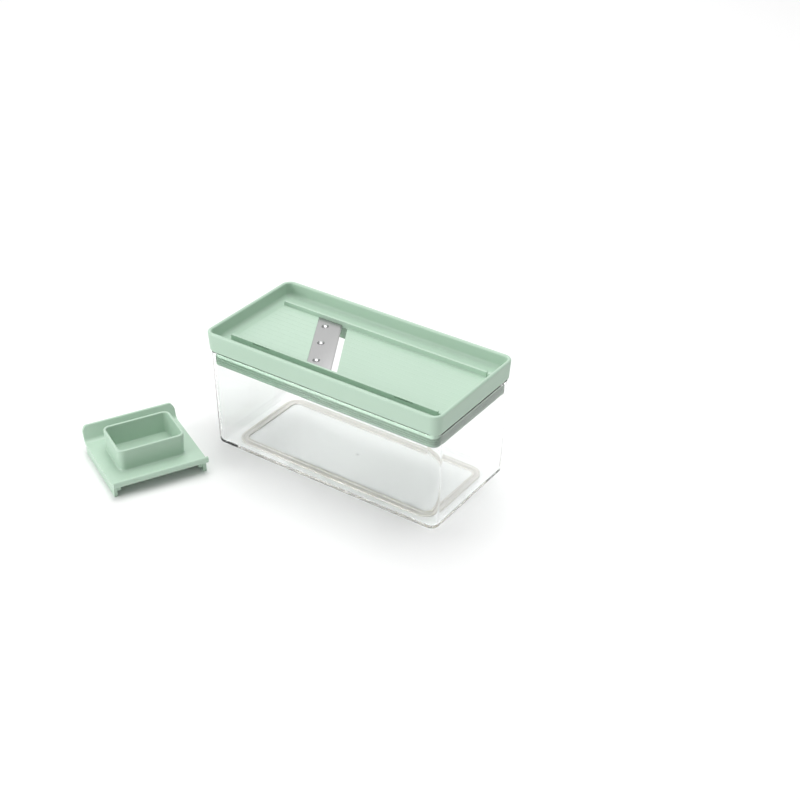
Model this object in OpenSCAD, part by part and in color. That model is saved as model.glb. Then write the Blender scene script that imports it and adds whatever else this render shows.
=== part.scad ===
// Mandoline slicer: a clear container, a slicer frame that stands on its top edge,
// a slanted blade riveted to the frame, and a food holder that rides on the frame's rails.
// Origin: centre of the set's footprint, on the table it stands on. X runs along the
// container, with the cut made towards -X, Y runs across, Z is up. Millimetres.

/* [Container] */
// Length over the container's top edge
container_l = 225; // [180:1:280]
// Width over the container's top edge
container_w = 108; // [98:1:140]
// Height of the top edge above the table
container_h = 91; // [60:1:140]
// Wall thickness of the container
container_wall = 2.2; // [1.6:0.1:2.6]
// Thickness of the container's floor
container_floor = 2.6; // [2:0.1:4]
// Outer radius of the upright corners at the top edge
container_corner = 9; // [8.6:0.1:12]
// How much narrower each side is at the base than at the top
container_draft = 2; // [1:0.1:2.4]
// Radius between the walls and the base
base_round = 4; // [3:0.1:4.2]

/* [Non-slip ring] */
// Distance from the container's base edge to the ring
ring_inset = 11.5; // [6:0.5:14]
// Width of the ring's band
ring_w = 6.6; // [5:0.2:9]
// Outer corner radius of the ring
ring_corner = 12; // [10:0.5:18]
// Depth of the band's groove in the base
ring_seat = 0.8; // [0.4:0.1:1.2]
// Height that the two beads stand below the base
ring_foot = 0.8; // [0.5:0.1:1.5]
// Width of each bead
ring_bead = 1.9; // [1.2:0.1:2.2]

/* [Slicer frame] */
// How far the rim stands out beyond the container
rim_overhang = 1.5; // [1.2:0.1:3]
// Height of the rim above the container's top edge
rim_h = 18; // [15:0.5:26]
// Thickness of the rim, rounded over its top
rim_wall = 3.3; // [2.4:0.1:3.6]
// Outer radius of the rim's upright corners
rim_corner = 8.6; // [8:0.1:10]
// How much the rim's outer face draws in towards its foot
rim_draft = 1.2; // [0.5:0.1:1.4]
// Radius of the rim's lower outside edge
rim_under_round = 2; // [1.5:0.1:2.2]
// Depth from the rim's top to the tray floor
tray_depth = 13; // [10:0.5:14.5]
// Thickness of the tray floor
tray_floor = 2.2; // [1.6:0.1:3]
// Radius between the tray floor and the rim
tray_fillet = 3.6; // [2:0.1:3.6]
// Depth of the skirt below the container's top edge
skirt_h = 12; // [9:0.5:20]
// Thickness of the skirt
skirt_wall = 1.6; // [1.2:0.1:2]
// Gap between the skirt and the container's wall
skirt_gap = 2.2; // [1.8:0.1:2.6]

/* [Seal] */
// Height of the seal's band round the skirt
seal_h = 7.4; // [6:0.1:11]
// Gap between the seal's lips and the container
seal_clearance = 0.3; // [0.25:0.05:0.6]
// How far the lips stand out from the band
seal_lip = 0.4; // [0.2:0.05:0.6]
// Thickness of the seal under the skirt
seal_toe = 1; // [0.6:0.1:1.6]
// Height of each sealing lip
seal_lip_h = 0.8; // [0.6:0.1:1]
// Distance between the two lips
seal_lip_pitch = 2; // [1.4:0.1:2.4]
// Radius of the seal's lower outside edge
seal_foot_round = 0.9; // [0.5:0.1:1]

/* [Rails and plates] */
// Distance over the outside of the two rails
rail_span = 72; // [60:0.5:80]
// Thickness of a rail
rail_t = 2.2; // [1.6:0.1:3]
// Height of the rails above the tray floor
rail_h = 5; // [4:0.1:7]
// Gap between the rails' left ends and the rim's inside
rail_left_gap = 9.3; // [7:0.1:14]
// Gap between the rails' right ends and the rim's inside
rail_right_gap = 9.8; // [8:0.1:14]
// Length of the entry notches in the rails' outer faces
notch_l = 17.5; // [8:0.5:24]
// Distance from the frame's middle to a notch
notch_x = 61; // [50:0.5:66]
// Height of a notch
notch_h = 1.2; // [0.8:0.1:2]
// Distance from a rail's top to its notches
notch_drop = 0.5; // [0.3:0.1:1]
// Depth of a notch into the rail
notch_d = 0.9; // [0.4:0.1:1.2]
// Height of the landing plate above the run-up plate
landing_h = 1.3; // [0.8:0.1:2]
// Depth of the stiffening webs below the rails
web_h = 9; // [5:0.5:12]
// Diameter of the stop studs past the rails' right ends
stud_d = 4.6; // [3:0.1:5]
// Gap between a rail's end and its stud
stud_gap = 0.4; // [0.2:0.1:1]

/* [Blade] */
// Width of the blade, square to its cutting edge
blade_w = 20.8; // [16:0.2:24]
// Thickness of the blade
blade_t = 0.6; // [0.4:0.1:1]
// Slant of the blade from square across the frame, in degrees
blade_slant = 29.6; // [20:0.2:35]
// Place of the cutting edge along the frame, at mid width
edge_x = -20.9; // [-30:0.1:0]
// Depth of the blade's seat in the landing plate
seat_d = 0.4; // [0.2:0.05:0.6]
// Gap round the blade in its seat
seat_gap = 0.25; // [0.1:0.05:0.5]
// Part of the blade's width that overhangs the slot
edge_overhang = 5.5; // [4:0.1:7]
// Clear width of the slot past the cutting edge, along the frame
slot_w = 5.4; // [4.5:0.1:8]
// Width of the ground bevel on the cutting edge
bevel_w = 1.2; // [0.6:0.1:2]
// Thickness left at the cutting edge
edge_t = 0.15; // [0.1:0.05:0.3]

/* [Rivets] */
// Distance between rivets along the blade
rivet_pitch = 27.4; // [20:0.2:29]
// Distance from the blade's back edge to the rivets
rivet_inset = 7; // [5.2:0.1:8]
// Diameter of the domed heads
rivet_head_d = 6.2; // [5:0.1:7]
// Height of the domed heads
rivet_head_h = 1.5; // [0.8:0.1:1.6]
// Diameter of the shanks
rivet_d = 3; // [2:0.1:4]
// Gap round the shanks
rivet_gap = 0.1; // [0.05:0.05:0.3]
// Height of the set heads under the plate
rivet_tail_h = 1; // [0.6:0.1:1.6]

/* [Food holder] */
// Length of the holder's plate, between the guard and the lip
holder_l = 66; // [60:1:90]
// Distance of the grip's middle from the plate's middle, towards the guard
grip_back = 2; // [0:0.1:3]
// Thickness of the plate
holder_t = 2.5; // [2:0.1:3]
// Height of the side flanges below the plate
flange_h = 9; // [8:0.1:12]
// Thickness of a side flange
flange_t = 3; // [2:0.1:4]
// How far the plate, the guard and the lip reach past each flange
plate_past_flange = 0.8; // [0.4:0.1:2]
// Gap between a flange and its rail
flange_clearance = 0.7; // [0.3:0.05:1.2]
// Gap between the flanges' lower edges and the tray floor in use
flange_lift = 0.4; // [0.3:0.05:1]
// How far the ledges reach past the rails' inner faces
ledge_past_rail = 0.4; // [0:0.1:1]
// Distance between a ledge's ends and the ends of the plate
ledge_inset = 1; // [0.5:0.5:4]
// Height of the guard above the plate
guard_h = 12.7; // [10:0.1:20]
// Outward lean of the guard, in degrees
guard_lean = 20; // [10:1:30]
// Radius of the guard's bend
guard_bend = 5; // [3:0.1:7]
// Radius of the guard's upper corners
guard_corner = 7; // [3:0.1:8]
// Inside radius of the rolled lip
lip_bend = 1.8; // [1:0.1:3]
// Turn of the rolled lip, in degrees
lip_turn = 115; // [60:1:150]
// Length of the box grip along the slide, at its top
grip_l = 42; // [34:0.5:50]
// Width of the box grip across the holder, at its top
grip_w = 58; // [44:0.5:60]
// Height of the box grip above the plate
grip_h = 20; // [14:0.5:30]
// Wall thickness of the box grip
grip_wall = 2.2; // [1.6:0.1:3]
// Outer corner radius of the box grip
grip_corner = 6; // [5:0.1:9]
// How much narrower each side of the grip is at its foot
grip_draft = 1.2; // [0.6:0.1:1.8]
// Radius between the box grip and the plate
grip_foot_round = 1.6; // [0.6:0.1:2.4]
// Height of the grip's inner floor above the plate
grip_floor = 1; // [0.4:0.1:3]

/* [Holder pins] */
// Diameter of a gripping pin
pin_d = 1.6; // [1:0.1:2.4]
// Reach of the pins below the plate
pin_reach = 5.5; // [4:0.1:5.9]
// Depth of the pins' sockets in the plate
pin_socket = 1.6; // [1:0.1:1.8]
// Length of a pin's pointed tip
pin_tip = 1.6; // [1:0.1:2.4]
// Diameter left at a pin's point
pin_point_d = 0.4; // [0.2:0.1:0.8]
// Pins in each row
pin_count = 4; // [2:1:5]
// Distance between pins in a row
pin_pitch = 13; // [8:0.5:14]
// Distance between the two rows
pin_rows = 20; // [10:0.5:26]

/* [Layout on the table] */
// Place of the container's middle along X
container_x = 40; // [30:0.1:60]
// Place of the container's middle along Y
container_y = 53.6; // [40:0.1:70]
// Place of the grip's middle along X
holder_x = -99; // [-140:0.1:-98]
// Place of the grip's middle along Y
holder_y = -54.9; // [-90:0.1:-50]
// Turn of the holder on the table, in degrees
holder_yaw = -27.2; // [-35:0.1:-15]

/* [Hidden] */
$fn = 64;

CLEAR = [0.93, 0.96, 0.97, 0.35];
TPE = [0.90, 0.88, 0.84];
JADE = [0.74, 0.86, 0.77];
STEEL = [0.74, 0.74, 0.74];
over = 0.5;           // reach of a cut past the face it opens, and of a part into its neighbour
hair = 0.01;          // overlap that joins the shapes of one section
cap_step = 18;        // degrees between points round a rounded end

// Axes of the upright corners, shared by the container, the rim, the skirt and the seal
axis_x = container_l / 2 - container_corner;
axis_y = container_w / 2 - container_corner;

// Axes of the rim's own upright corners, and its inside along the frame
rim_axis_x = container_l / 2 + rim_overhang - rim_corner;
rim_axis_y = container_w / 2 + rim_overhang - rim_corner;
rim_in = rim_corner - rim_wall;
rim_inside_x = rim_axis_x + rim_in;

// Distances from the shared corner axes outwards
wall_out_top = container_corner;
wall_out_base = container_corner - container_draft;
draft_per_mm = container_draft / (container_h - ring_foot);
skirt_foot_z = container_h - skirt_h;
seal_foot_z = skirt_foot_z - seal_toe;
wall_in_seal = wall_out_top - container_wall - draft_per_mm * (container_h - seal_foot_z);
skirt_out = wall_out_top - container_wall - skirt_gap;
skirt_in = skirt_out - skirt_wall;
seal_out = wall_in_seal - seal_clearance;

// Heights
base_z = ring_foot;
inside_z = base_z + container_floor;
rim_top = container_h + rim_h;
floor_z = rim_top - tray_depth;
floor_under = floor_z - tray_floor;
rail_top = floor_z + rail_h;
landing_z = floor_z + landing_h;
blade_z = landing_z - seat_d;

// Rails and plates
rail_out = rail_span / 2;
rail_in = rail_out - rail_t;
rail_x0 = -rim_inside_x + rail_left_gap;
rail_x1 = rim_inside_x - rail_right_gap;
stud_x = rail_x1 + stud_d / 2 + stud_gap;
stud_y = rail_out - rail_t / 2;

// Blade: lengths measured along X at mid width
slant_run = tan(blade_slant);
blade_run = blade_w / cos(blade_slant);
overhang_run = edge_overhang / cos(blade_slant);
back_x = edge_x - blade_run;
support_x = edge_x - overhang_run;
runup_x = edge_x + slot_w;
blade_half = rail_in - seat_gap;
rivet_x = back_x + rivet_inset / cos(blade_slant);

// Ring under the base
ring_l = container_l - 2 * container_draft - 2 * ring_inset;
ring_width = container_w - 2 * container_draft - 2 * ring_inset;

// Holder, in its own frame: X along the slide, origin under the middle of the grip
flange_in = rail_out + flange_clearance;
flange_out = flange_in + flange_t;
sheet_half = flange_out + plate_past_flange;
plate_z = flange_h;
plate_top = plate_z + holder_t;
plate_x0 = grip_back - holder_l / 2;
plate_x1 = grip_back + holder_l / 2;
ledge_h = flange_h - (rail_h - flange_lift);
ledge_w = flange_clearance + rail_t + ledge_past_rail;
guard_out = guard_bend + holder_t;
guard_turn = 90 - guard_lean;
guard_rise = guard_bend * (1 - cos(guard_turn));
guard_len = (guard_h - guard_rise) / cos(guard_lean);
lip_out = lip_bend + holder_t;

// A flat rounded rectangle of height h, standing on z = 0
module rounded_slab(l, w, r, h) {
    linear_extrude(h) {
        square([l - 2 * r, w], center = true);
        square([l, w - 2 * r], center = true);
        for (sx = [-1, 1], sy = [-1, 1])
            translate([sx * (l / 2 - r), sy * (w / 2 - r)]) circle(r);
    }
}

// Points along an arc about c, from angle a0 to angle a1
function arc(c, r, a0, a1, steps = 10) =
    [for (i = [0 : steps]) let (a = a0 + (a1 - a0) * i / steps) c + r * [cos(a), sin(a)]];

// Carries an upright profile round a rounded rectangle. The profile's x is the distance
// outwards from the corner axes, which stand at (+-ax, +-ay)
module round_the_corners(ax, ay) {
    for (side = [0, 1]) {
        rotate([0, 0, 180 * side]) {
            translate([ax, ay, 0]) rotate([90, 0, 0]) linear_extrude(2 * ay) children();
            translate([-ax, ay, 0]) rotate([0, 0, 90]) rotate([90, 0, 0]) linear_extrude(2 * ax)
                children();
            translate([ax, ay, 0]) rotate_extrude(angle = 90) children();
            translate([-ax, ay, 0]) rotate([0, 0, 90]) rotate_extrude(angle = 90) children();
        }
    }
}

// Section of a drafted wall whose foot is rounded: its outside, filled to the corner axis
module wall_section(foot_z, top_z, out_foot, out_top, foot_r) {
    polygon([[0, foot_z + foot_r], [out_foot, foot_z + foot_r], [out_top, top_z], [0, top_z]]);
    translate([0, foot_z]) square([out_foot - foot_r, foot_r + hair]);
    translate([out_foot - foot_r, foot_z + foot_r]) intersection() {
        circle(foot_r);
        translate([0, -foot_r]) square([foot_r, foot_r + hair]);
    }
}

// Slanted strip between two places along X, run across the frame between y0 and y1
module slanted(x0, x1, y0, y1, h) {
    linear_extrude(h) polygon([[x0 - y0 * slant_run, y0], [x1 - y0 * slant_run, y0],
                               [x1 - y1 * slant_run, y1], [x0 - y1 * slant_run, y1]]);
}

// Puts its children where the container stands
module in_place() {
    translate([container_x, container_y, 0]) children();
}

module container() {
    color(CLEAR) in_place() difference() {
        union() {
            round_the_corners(axis_x, axis_y) difference() {
                wall_section(base_z, container_h, wall_out_base, wall_out_top, base_round);
                wall_section(inside_z, container_h + over, wall_out_base - container_wall,
                             wall_out_top - container_wall + draft_per_mm * over,
                             base_round - container_wall);
            }
            translate([0, 0, base_z + container_floor / 2])
                cube([2 * (axis_x + over), 2 * (axis_y + over), container_floor], center = true);
        }
        translate([0, 0, base_z - over]) difference() {
            rounded_slab(ring_l, ring_width, ring_corner, ring_seat + over);
            translate([0, 0, -over])
                rounded_slab(ring_l - 2 * ring_w, ring_width - 2 * ring_w, ring_corner - ring_w,
                             ring_seat + 3 * over);
        }
    }
}

module non_slip_ring() {
    bead_out = ring_corner;
    bead_in = ring_corner - ring_w;
    color(TPE) in_place() round_the_corners(ring_l / 2 - ring_corner, ring_width / 2 - ring_corner) {
        translate([bead_in, base_z]) square([ring_w, ring_seat]);
        for (x = [bead_in, bead_out - ring_bead])
            translate([x, 0]) square([ring_bead, base_z + hair]);
    }
}

// Section of the rim and the tray floor's border, from the axis of the rim's corner
module rim_section() {
    crown = rim_wall / 2;
    foot_x = rim_corner - rim_draft - rim_under_round;
    polygon(concat(
        [[0, container_h]],
        arc([foot_x, container_h + rim_under_round], rim_under_round, 270, 360),
        arc([rim_corner - crown, rim_top - crown], crown, 0, 180, 16),
        arc([rim_in - tray_fillet, floor_z + tray_fillet], tray_fillet, 0, -90),
        [[0, floor_z]]));
}

// Section of the seat on the container's edge and the skirt inside it
module skirt_section() {
    translate([skirt_in, container_h])
        square([wall_out_top - container_wall / 2 - skirt_in, floor_under + over - container_h]);
    translate([skirt_in, skirt_foot_z]) square([skirt_wall, skirt_h + hair]);
}

module rail(side) {
    rail_l = rail_x1 - rail_x0;
    y0 = side > 0 ? rail_in : -rail_out;
    notch_y = side > 0 ? rail_out - notch_d : -rail_out - over;
    difference() {
        translate([rail_x0, y0, floor_z - over]) cube([rail_l, rail_t, rail_h + over]);
        for (x = [notch_x, -notch_x - notch_l])
            translate([x, notch_y, rail_top - notch_h - notch_drop])
                cube([notch_l, notch_d + over, notch_h]);
    }
    // Stiffening web under the rail
    translate([rail_x0, y0, floor_under - web_h]) cube([rail_l, rail_t, web_h + over]);
}

module slicer_frame() {
    color(JADE) in_place() difference() {
        union() {
            round_the_corners(rim_axis_x, rim_axis_y) rim_section();
            round_the_corners(axis_x, axis_y) skirt_section();
            translate([0, 0, floor_under + tray_floor / 2])
                cube([2 * (rim_axis_x + over), 2 * (rim_axis_y + over), tray_floor], center = true);
            for (side = [-1, 1]) {
                rail(side);
                translate([stud_x, side * stud_y, floor_z - over])
                    cylinder(h = rail_h + over, d = stud_d);
            }
            // Landing plate, from the rails' left ends to the slot
            translate([0, 0, floor_z - over]) linear_extrude(landing_h + over)
                polygon([[rail_x0, -rail_in - over], [support_x + rail_in * slant_run, -rail_in - over],
                         [support_x - rail_in * slant_run, rail_in + over],
                         [rail_x0, rail_in + over]]);
        }
        // Slot
        translate([0, 0, floor_under - over])
            slanted(support_x, runup_x, -rail_in, rail_in, tray_floor + landing_h + 2 * over);
        // Seat of the blade
        translate([0, 0, blade_z])
            slanted(back_x - seat_gap, edge_x, -rail_in, rail_in, landing_h);
        at_rivets() translate([0, 0, floor_under - over])
            cylinder(h = tray_floor + landing_h + 2 * over, d = rivet_d + 2 * rivet_gap);
    }
}

module frame_seal() {
    band_out = seal_out - seal_lip;
    seal_top = seal_foot_z + seal_h;
    foot_c = [band_out - seal_foot_round, seal_foot_z + seal_foot_round];
    upper = seal_top - seal_lip_h / 2;
    lower = upper - seal_lip_pitch;
    color(JADE) in_place() round_the_corners(axis_x, axis_y)
        polygon(concat(
            [[skirt_in, seal_foot_z]],
            arc(foot_c, seal_foot_round, 270, 360),
            [[band_out, lower - seal_lip_h], [seal_out, lower - seal_lip_h], [seal_out, lower],
             [band_out, lower], [band_out, upper - seal_lip_h], [seal_out, upper - seal_lip_h],
             [seal_out, upper], [band_out, upper], [band_out, seal_top], [skirt_out, seal_top],
             [skirt_out, skirt_foot_z], [skirt_in, skirt_foot_z]]));
}

// Places its children at each rivet, on the frame's middle height
module at_rivets() {
    for (i = [-1, 0, 1]) {
        along = i * rivet_pitch;
        translate([rivet_x - along * sin(blade_slant), along * cos(blade_slant), 0]) children();
    }
}

module slicing_blade() {
    color(STEEL) in_place() difference() {
        translate([0, 0, blade_z]) slanted(back_x, edge_x, -blade_half, blade_half, blade_t);
        // Ground bevel on the upper side of the cutting edge
        translate([edge_x, 0, blade_z + edge_t]) rotate([0, 0, blade_slant])
            rotate([0, atan((blade_t - edge_t) / bevel_w), 0])
                translate([-blade_w / 2, -2 * blade_half, 0]) cube([blade_w, 4 * blade_half, 2 * blade_w]);
        at_rivets() translate([0, 0, blade_z - over])
            cylinder(h = blade_t + 2 * over, d = rivet_d + 2 * rivet_gap);
    }
}

module blade_rivets() {
    head_z = blade_z + blade_t;
    tail_d = rivet_head_d - 1;
    // Sphere whose cap has the head's diameter and height
    dome_r = (pow(rivet_head_d / 2, 2) + pow(rivet_head_h, 2)) / (2 * rivet_head_h);
    color(STEEL) in_place() at_rivets() {
        intersection() {
            translate([0, 0, head_z + rivet_head_h - dome_r]) sphere(dome_r);
            translate([0, 0, head_z]) cylinder(h = rivet_head_h + over, d = rivet_head_d + over);
        }
        translate([0, 0, floor_under - rivet_tail_h / 2])
            cylinder(h = head_z - floor_under + (rivet_tail_h + rivet_head_h) / 2, d = rivet_d);
        translate([0, 0, floor_under - rivet_tail_h])
            cylinder(h = rivet_tail_h, d = tail_d);
    }
}

// Puts its children where the holder lies on the table
module on_table() {
    translate([holder_x, holder_y, 0]) rotate([0, 0, holder_yaw]) children();
}

// Side section of the holder: plate, bend and leaning guard at one end, rolled lip at the other
module holder_section() {
    bend_c = [plate_x0, plate_top + guard_bend];
    roll_c = [plate_x1, plate_top + lip_bend];
    bend_end = 270 - guard_turn;
    roll_end = 270 + lip_turn;
    up_guard = guard_len * [-cos(guard_turn), sin(guard_turn)];
    guard_tip = bend_c + (guard_bend + holder_t / 2) * [cos(bend_end), sin(bend_end)] + up_guard;
    roll_tip = roll_c + (lip_bend + holder_t / 2) * [cos(roll_end), sin(roll_end)];
    polygon(concat(
        arc(guard_tip, holder_t / 2, bend_end - 180, bend_end),
        arc(bend_c, guard_out, bend_end, 270),
        arc(roll_c, lip_out, 270, roll_end),
        arc(roll_tip, holder_t / 2, roll_end + cap_step, roll_end + 180 - cap_step, 8),
        arc(roll_c, lip_bend, roll_end, 270),
        arc(bend_c, guard_bend, 270, bend_end)));
}

// The section carried across the holder, with the guard's upper corners rounded
module holder_sheet() {
    length = 4 * holder_l;
    top = plate_top + guard_h + holder_t / 2;
    straight = sheet_half - guard_corner;
    intersection() {
        rotate([90, 0, 0]) linear_extrude(2 * sheet_half, center = true) holder_section();
        rotate([90, 0, 90]) linear_extrude(length, center = true) {
            translate([-sheet_half, 0]) square([2 * sheet_half, top - guard_corner]);
            translate([-straight, 0]) square([2 * straight, top + over]);
            for (s = [-1, 1]) translate([s * straight, top - guard_corner]) circle(guard_corner);
        }
    }
}

module grip() {
    ax = grip_l / 2 - grip_corner;
    ay = grip_w / 2 - grip_corner;
    foot = grip_corner - grip_draft;
    top = plate_top + grip_h;
    inner_z = plate_top + grip_floor;
    root_z = plate_top - holder_t / 2;
    round_the_corners(ax, ay) {
        difference() {
            polygon([[0, root_z], [foot, root_z], [foot, plate_top], [grip_corner, top], [0, top]]);
            polygon([[0, inner_z], [foot - grip_wall, inner_z], [grip_corner - grip_wall, top + hair],
                     [0, top + hair]]);
        }
        // Fillet at the foot
        translate([foot - over, plate_top - hair]) difference() {
            square([grip_foot_round + over, grip_foot_round]);
            translate([grip_foot_round + over, grip_foot_round]) circle(grip_foot_round);
        }
    }
    translate([0, 0, (inner_z + root_z) / 2])
        cube([2 * (ax + over), 2 * (ay + over), inner_z - root_z], center = true);
}

module food_holder() {
    flange_x0 = plate_x0 - guard_bend;
    color(JADE) on_table() difference() {
        union() {
            holder_sheet();
            for (s = [-1, 1]) {
                translate([flange_x0, s > 0 ? flange_in : -flange_out, 0])
                    cube([plate_x1 - flange_x0, flange_t, plate_z + over]);
                // Ledge that rides on the rail
                translate([plate_x0 + ledge_inset, s > 0 ? flange_in - ledge_w : -flange_in - over,
                           plate_z - ledge_h])
                    cube([holder_l - 2 * ledge_inset, ledge_w + over, ledge_h + over]);
            }
            grip();
        }
        at_pins() translate([0, 0, plate_z - over])
            cylinder(h = pin_socket + over, d = pin_d);
    }
}

// Places its children at each gripping pin
module at_pins() {
    for (row = [-1, 1], i = [0 : pin_count - 1])
        translate([row * pin_rows / 2, (i - (pin_count - 1) / 2) * pin_pitch, 0]) children();
}

module holder_pins() {
    color(STEEL) on_table() at_pins() {
        translate([0, 0, plate_z - pin_reach + pin_tip])
            cylinder(h = pin_reach - pin_tip + pin_socket, d = pin_d);
        translate([0, 0, plate_z - pin_reach]) cylinder(h = pin_tip, d1 = pin_point_d, d2 = pin_d);
    }
}

container();
non_slip_ring();
slicer_frame();
frame_seal();
slicing_blade();
blade_rivets();
food_holder();
holder_pins();
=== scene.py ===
"""Mandoline slicer on its clear storage box, with its food holder lying beside it.

Every length is in metres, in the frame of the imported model. Sizes come from the model's boxes
and from the named fields of each sub-assembly.
"""

import logging
import math
from collections.abc import Iterable, Sequence
from dataclasses import dataclass, field
from enum import Enum

import bmesh
import bpy
from mathutils import Matrix, Vector

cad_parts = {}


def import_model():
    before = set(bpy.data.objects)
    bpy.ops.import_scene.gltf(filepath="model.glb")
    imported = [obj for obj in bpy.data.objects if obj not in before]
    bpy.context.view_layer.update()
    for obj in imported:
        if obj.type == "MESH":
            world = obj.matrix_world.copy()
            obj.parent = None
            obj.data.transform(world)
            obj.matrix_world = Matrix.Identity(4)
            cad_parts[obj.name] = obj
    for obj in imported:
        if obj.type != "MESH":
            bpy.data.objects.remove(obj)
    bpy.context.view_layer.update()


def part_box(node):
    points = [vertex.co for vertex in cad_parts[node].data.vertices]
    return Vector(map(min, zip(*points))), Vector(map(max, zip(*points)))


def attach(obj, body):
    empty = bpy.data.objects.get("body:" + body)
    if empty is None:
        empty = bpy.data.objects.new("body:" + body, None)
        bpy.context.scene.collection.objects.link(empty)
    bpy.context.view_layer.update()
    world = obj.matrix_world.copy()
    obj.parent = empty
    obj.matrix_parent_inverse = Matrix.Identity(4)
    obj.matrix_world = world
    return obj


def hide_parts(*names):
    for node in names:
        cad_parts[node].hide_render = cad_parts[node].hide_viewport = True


LOG = logging.getLogger("mandoline")
MM = 0.001
WELD = 1e-6
SMOOTH_ANGLE = math.radians(38)

Point = tuple[float, float]


# ---------------------------------------------------------------- outlines


@dataclass(frozen=True)
class Corner:
    """A corner of an outline, with the radius that rounds it and the steps of its arc."""

    u: float
    v: float
    radius: float = 0.0
    steps: int = 6


def rounded(corners: Sequence[Corner], closed: bool = True) -> list[Point]:
    """Rounds the corners of an outline with arcs.

    Args:
        corners: the outline's corners in order.
        closed: whether the last corner joins the first.

    Returns:
        The outline's points, in the same order.
    """
    points: list[Point] = []
    count = len(corners)
    for i, corner in enumerate(corners):
        here = Vector((corner.u, corner.v))
        at_end = not closed and i in (0, count - 1)
        if corner.radius <= 0 or at_end:
            points.append((here.x, here.y))
            continue
        before, after = corners[i - 1], corners[(i + 1) % count]
        back = (Vector((before.u, before.v)) - here).normalized()
        ahead = (Vector((after.u, after.v)) - here).normalized()
        half = back.angle(ahead) / 2
        reach = corner.radius / math.tan(half)
        centre = here + (back + ahead).normalized() * (corner.radius / math.sin(half))
        start, end = here + back * reach - centre, here + ahead * reach - centre
        turn = start.angle_signed(end)
        for k in range(corner.steps + 1):
            arm = Matrix.Rotation(-turn * k / corner.steps, 2) @ start
            points.append((centre.x + arm.x, centre.y + arm.y))
    return points


def arc(centre: Point, radius: float, first: float, last: float, steps: int = 10) -> list[Point]:
    """Points along an arc.

    Args:
        centre: the arc's centre.
        radius: its radius.
        first: the angle it starts at, in degrees.
        last: the angle it ends at, in degrees.
        steps: how many chords it has.

    Returns:
        The arc's points, both ends included.
    """
    turns = (math.radians(first + (last - first) * k / steps) for k in range(steps + 1))
    return [(centre[0] + radius * math.cos(t), centre[1] + radius * math.sin(t)) for t in turns]


# ---------------------------------------------------------------- mesh work


def wire(bm: bmesh.types.BMesh, points: Iterable[Vector], closed: bool) -> list:
    """Draws a chain of edges.

    Args:
        bm: the mesh to draw in.
        points: the chain's points.
        closed: whether the last point joins the first.

    Returns:
        The chain's vertices and edges.
    """
    verts = [bm.verts.new(p) for p in points]
    pairs = list(zip(verts, verts[1:])) + ([(verts[-1], verts[0])] if closed else [])
    return verts + [bm.edges.new(pair) for pair in pairs]


def only(kind: type, geometry: Iterable) -> list:
    """The elements of one kind."""
    return [g for g in geometry if isinstance(g, kind)]


def pull(bm: bmesh.types.BMesh, geometry: Iterable, step: Vector) -> list:
    """Extrudes a chain of edges along a straight step and returns its moved copy."""
    edges = only(bmesh.types.BMEdge, geometry)
    made = bmesh.ops.extrude_edge_only(bm, edges=edges)["geom"]
    moved = only(bmesh.types.BMVert, made)
    bmesh.ops.translate(bm, verts=moved, vec=step)
    last = set(moved)
    return moved + [e for e in only(bmesh.types.BMEdge, made) if set(e.verts) <= last]


def weld(bm: bmesh.types.BMesh) -> None:
    """Merges doubled vertices and turns every face outwards."""
    bmesh.ops.remove_doubles(bm, verts=bm.verts[:], dist=WELD)
    bmesh.ops.dissolve_degenerate(bm, edges=bm.edges[:], dist=WELD)
    bmesh.ops.recalc_face_normals(bm, faces=bm.faces[:])


def absorb(bm: bmesh.types.BMesh, part: bmesh.types.BMesh, place: Matrix | None = None) -> None:
    """Adds a finished part to a mesh and frees the part.

    Args:
        bm: the mesh that takes the part in.
        part: the part, in its own coordinates.
        place: where the part goes, or None where it already is in place.
    """
    if place is not None:
        bmesh.ops.transform(part, matrix=place, verts=part.verts[:])
    carrier = bpy.data.meshes.new("carrier")
    part.to_mesh(carrier)
    bm.from_mesh(carrier)
    bpy.data.meshes.remove(carrier)
    part.free()


def sweep_round(
    outline: Sequence[Point], half: Point, closed: bool, steps: int = 10
) -> bmesh.types.BMesh:
    """Carries an upright outline round a rounded rectangle.

    Args:
        outline: points whose first number is the distance outwards from the corner axes.
        half: the corner axes' distances from the middle, along X and Y.
        closed: whether the outline is a loop.
        steps: chords in each quarter turn.

    Returns:
        The swept mesh, welded.
    """
    bm = bmesh.new()
    ax, ay = half
    chain = wire(bm, [Vector((ax + u, -ay, v)) for u, v in outline], closed)
    legs = (
        (Vector((0, 2 * ay, 0)), (ax, ay)),
        (Vector((-2 * ax, 0, 0)), (-ax, ay)),
        (Vector((0, -2 * ay, 0)), (-ax, -ay)),
        (Vector((2 * ax, 0, 0)), (ax, -ay)),
    )
    for step, axis in legs:
        chain = pull(bm, chain, step)
        chain = bmesh.ops.spin(
            bm,
            geom=chain,
            cent=(axis[0], axis[1], 0),
            axis=(0, 0, 1),
            angle=math.pi / 2,
            steps=steps,
            use_merge=False,
            use_normal_flip=False,
            use_duplicate=False,
        )["geom_last"]
    weld(bm)
    return bm


def lathe(outline: Sequence[Point], steps: int = 40) -> bmesh.types.BMesh:
    """Spins an outline of radius and height, which starts and ends on the axis, about Z."""
    bm = bmesh.new()
    chain = wire(bm, [Vector((r, 0, z)) for r, z in outline], closed=False)
    bmesh.ops.spin(
        bm,
        geom=chain,
        cent=(0, 0, 0),
        axis=(0, 0, 1),
        angle=math.tau,
        steps=steps,
        use_merge=True,
        use_normal_flip=False,
        use_duplicate=False,
    )
    weld(bm)
    return bm


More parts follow.
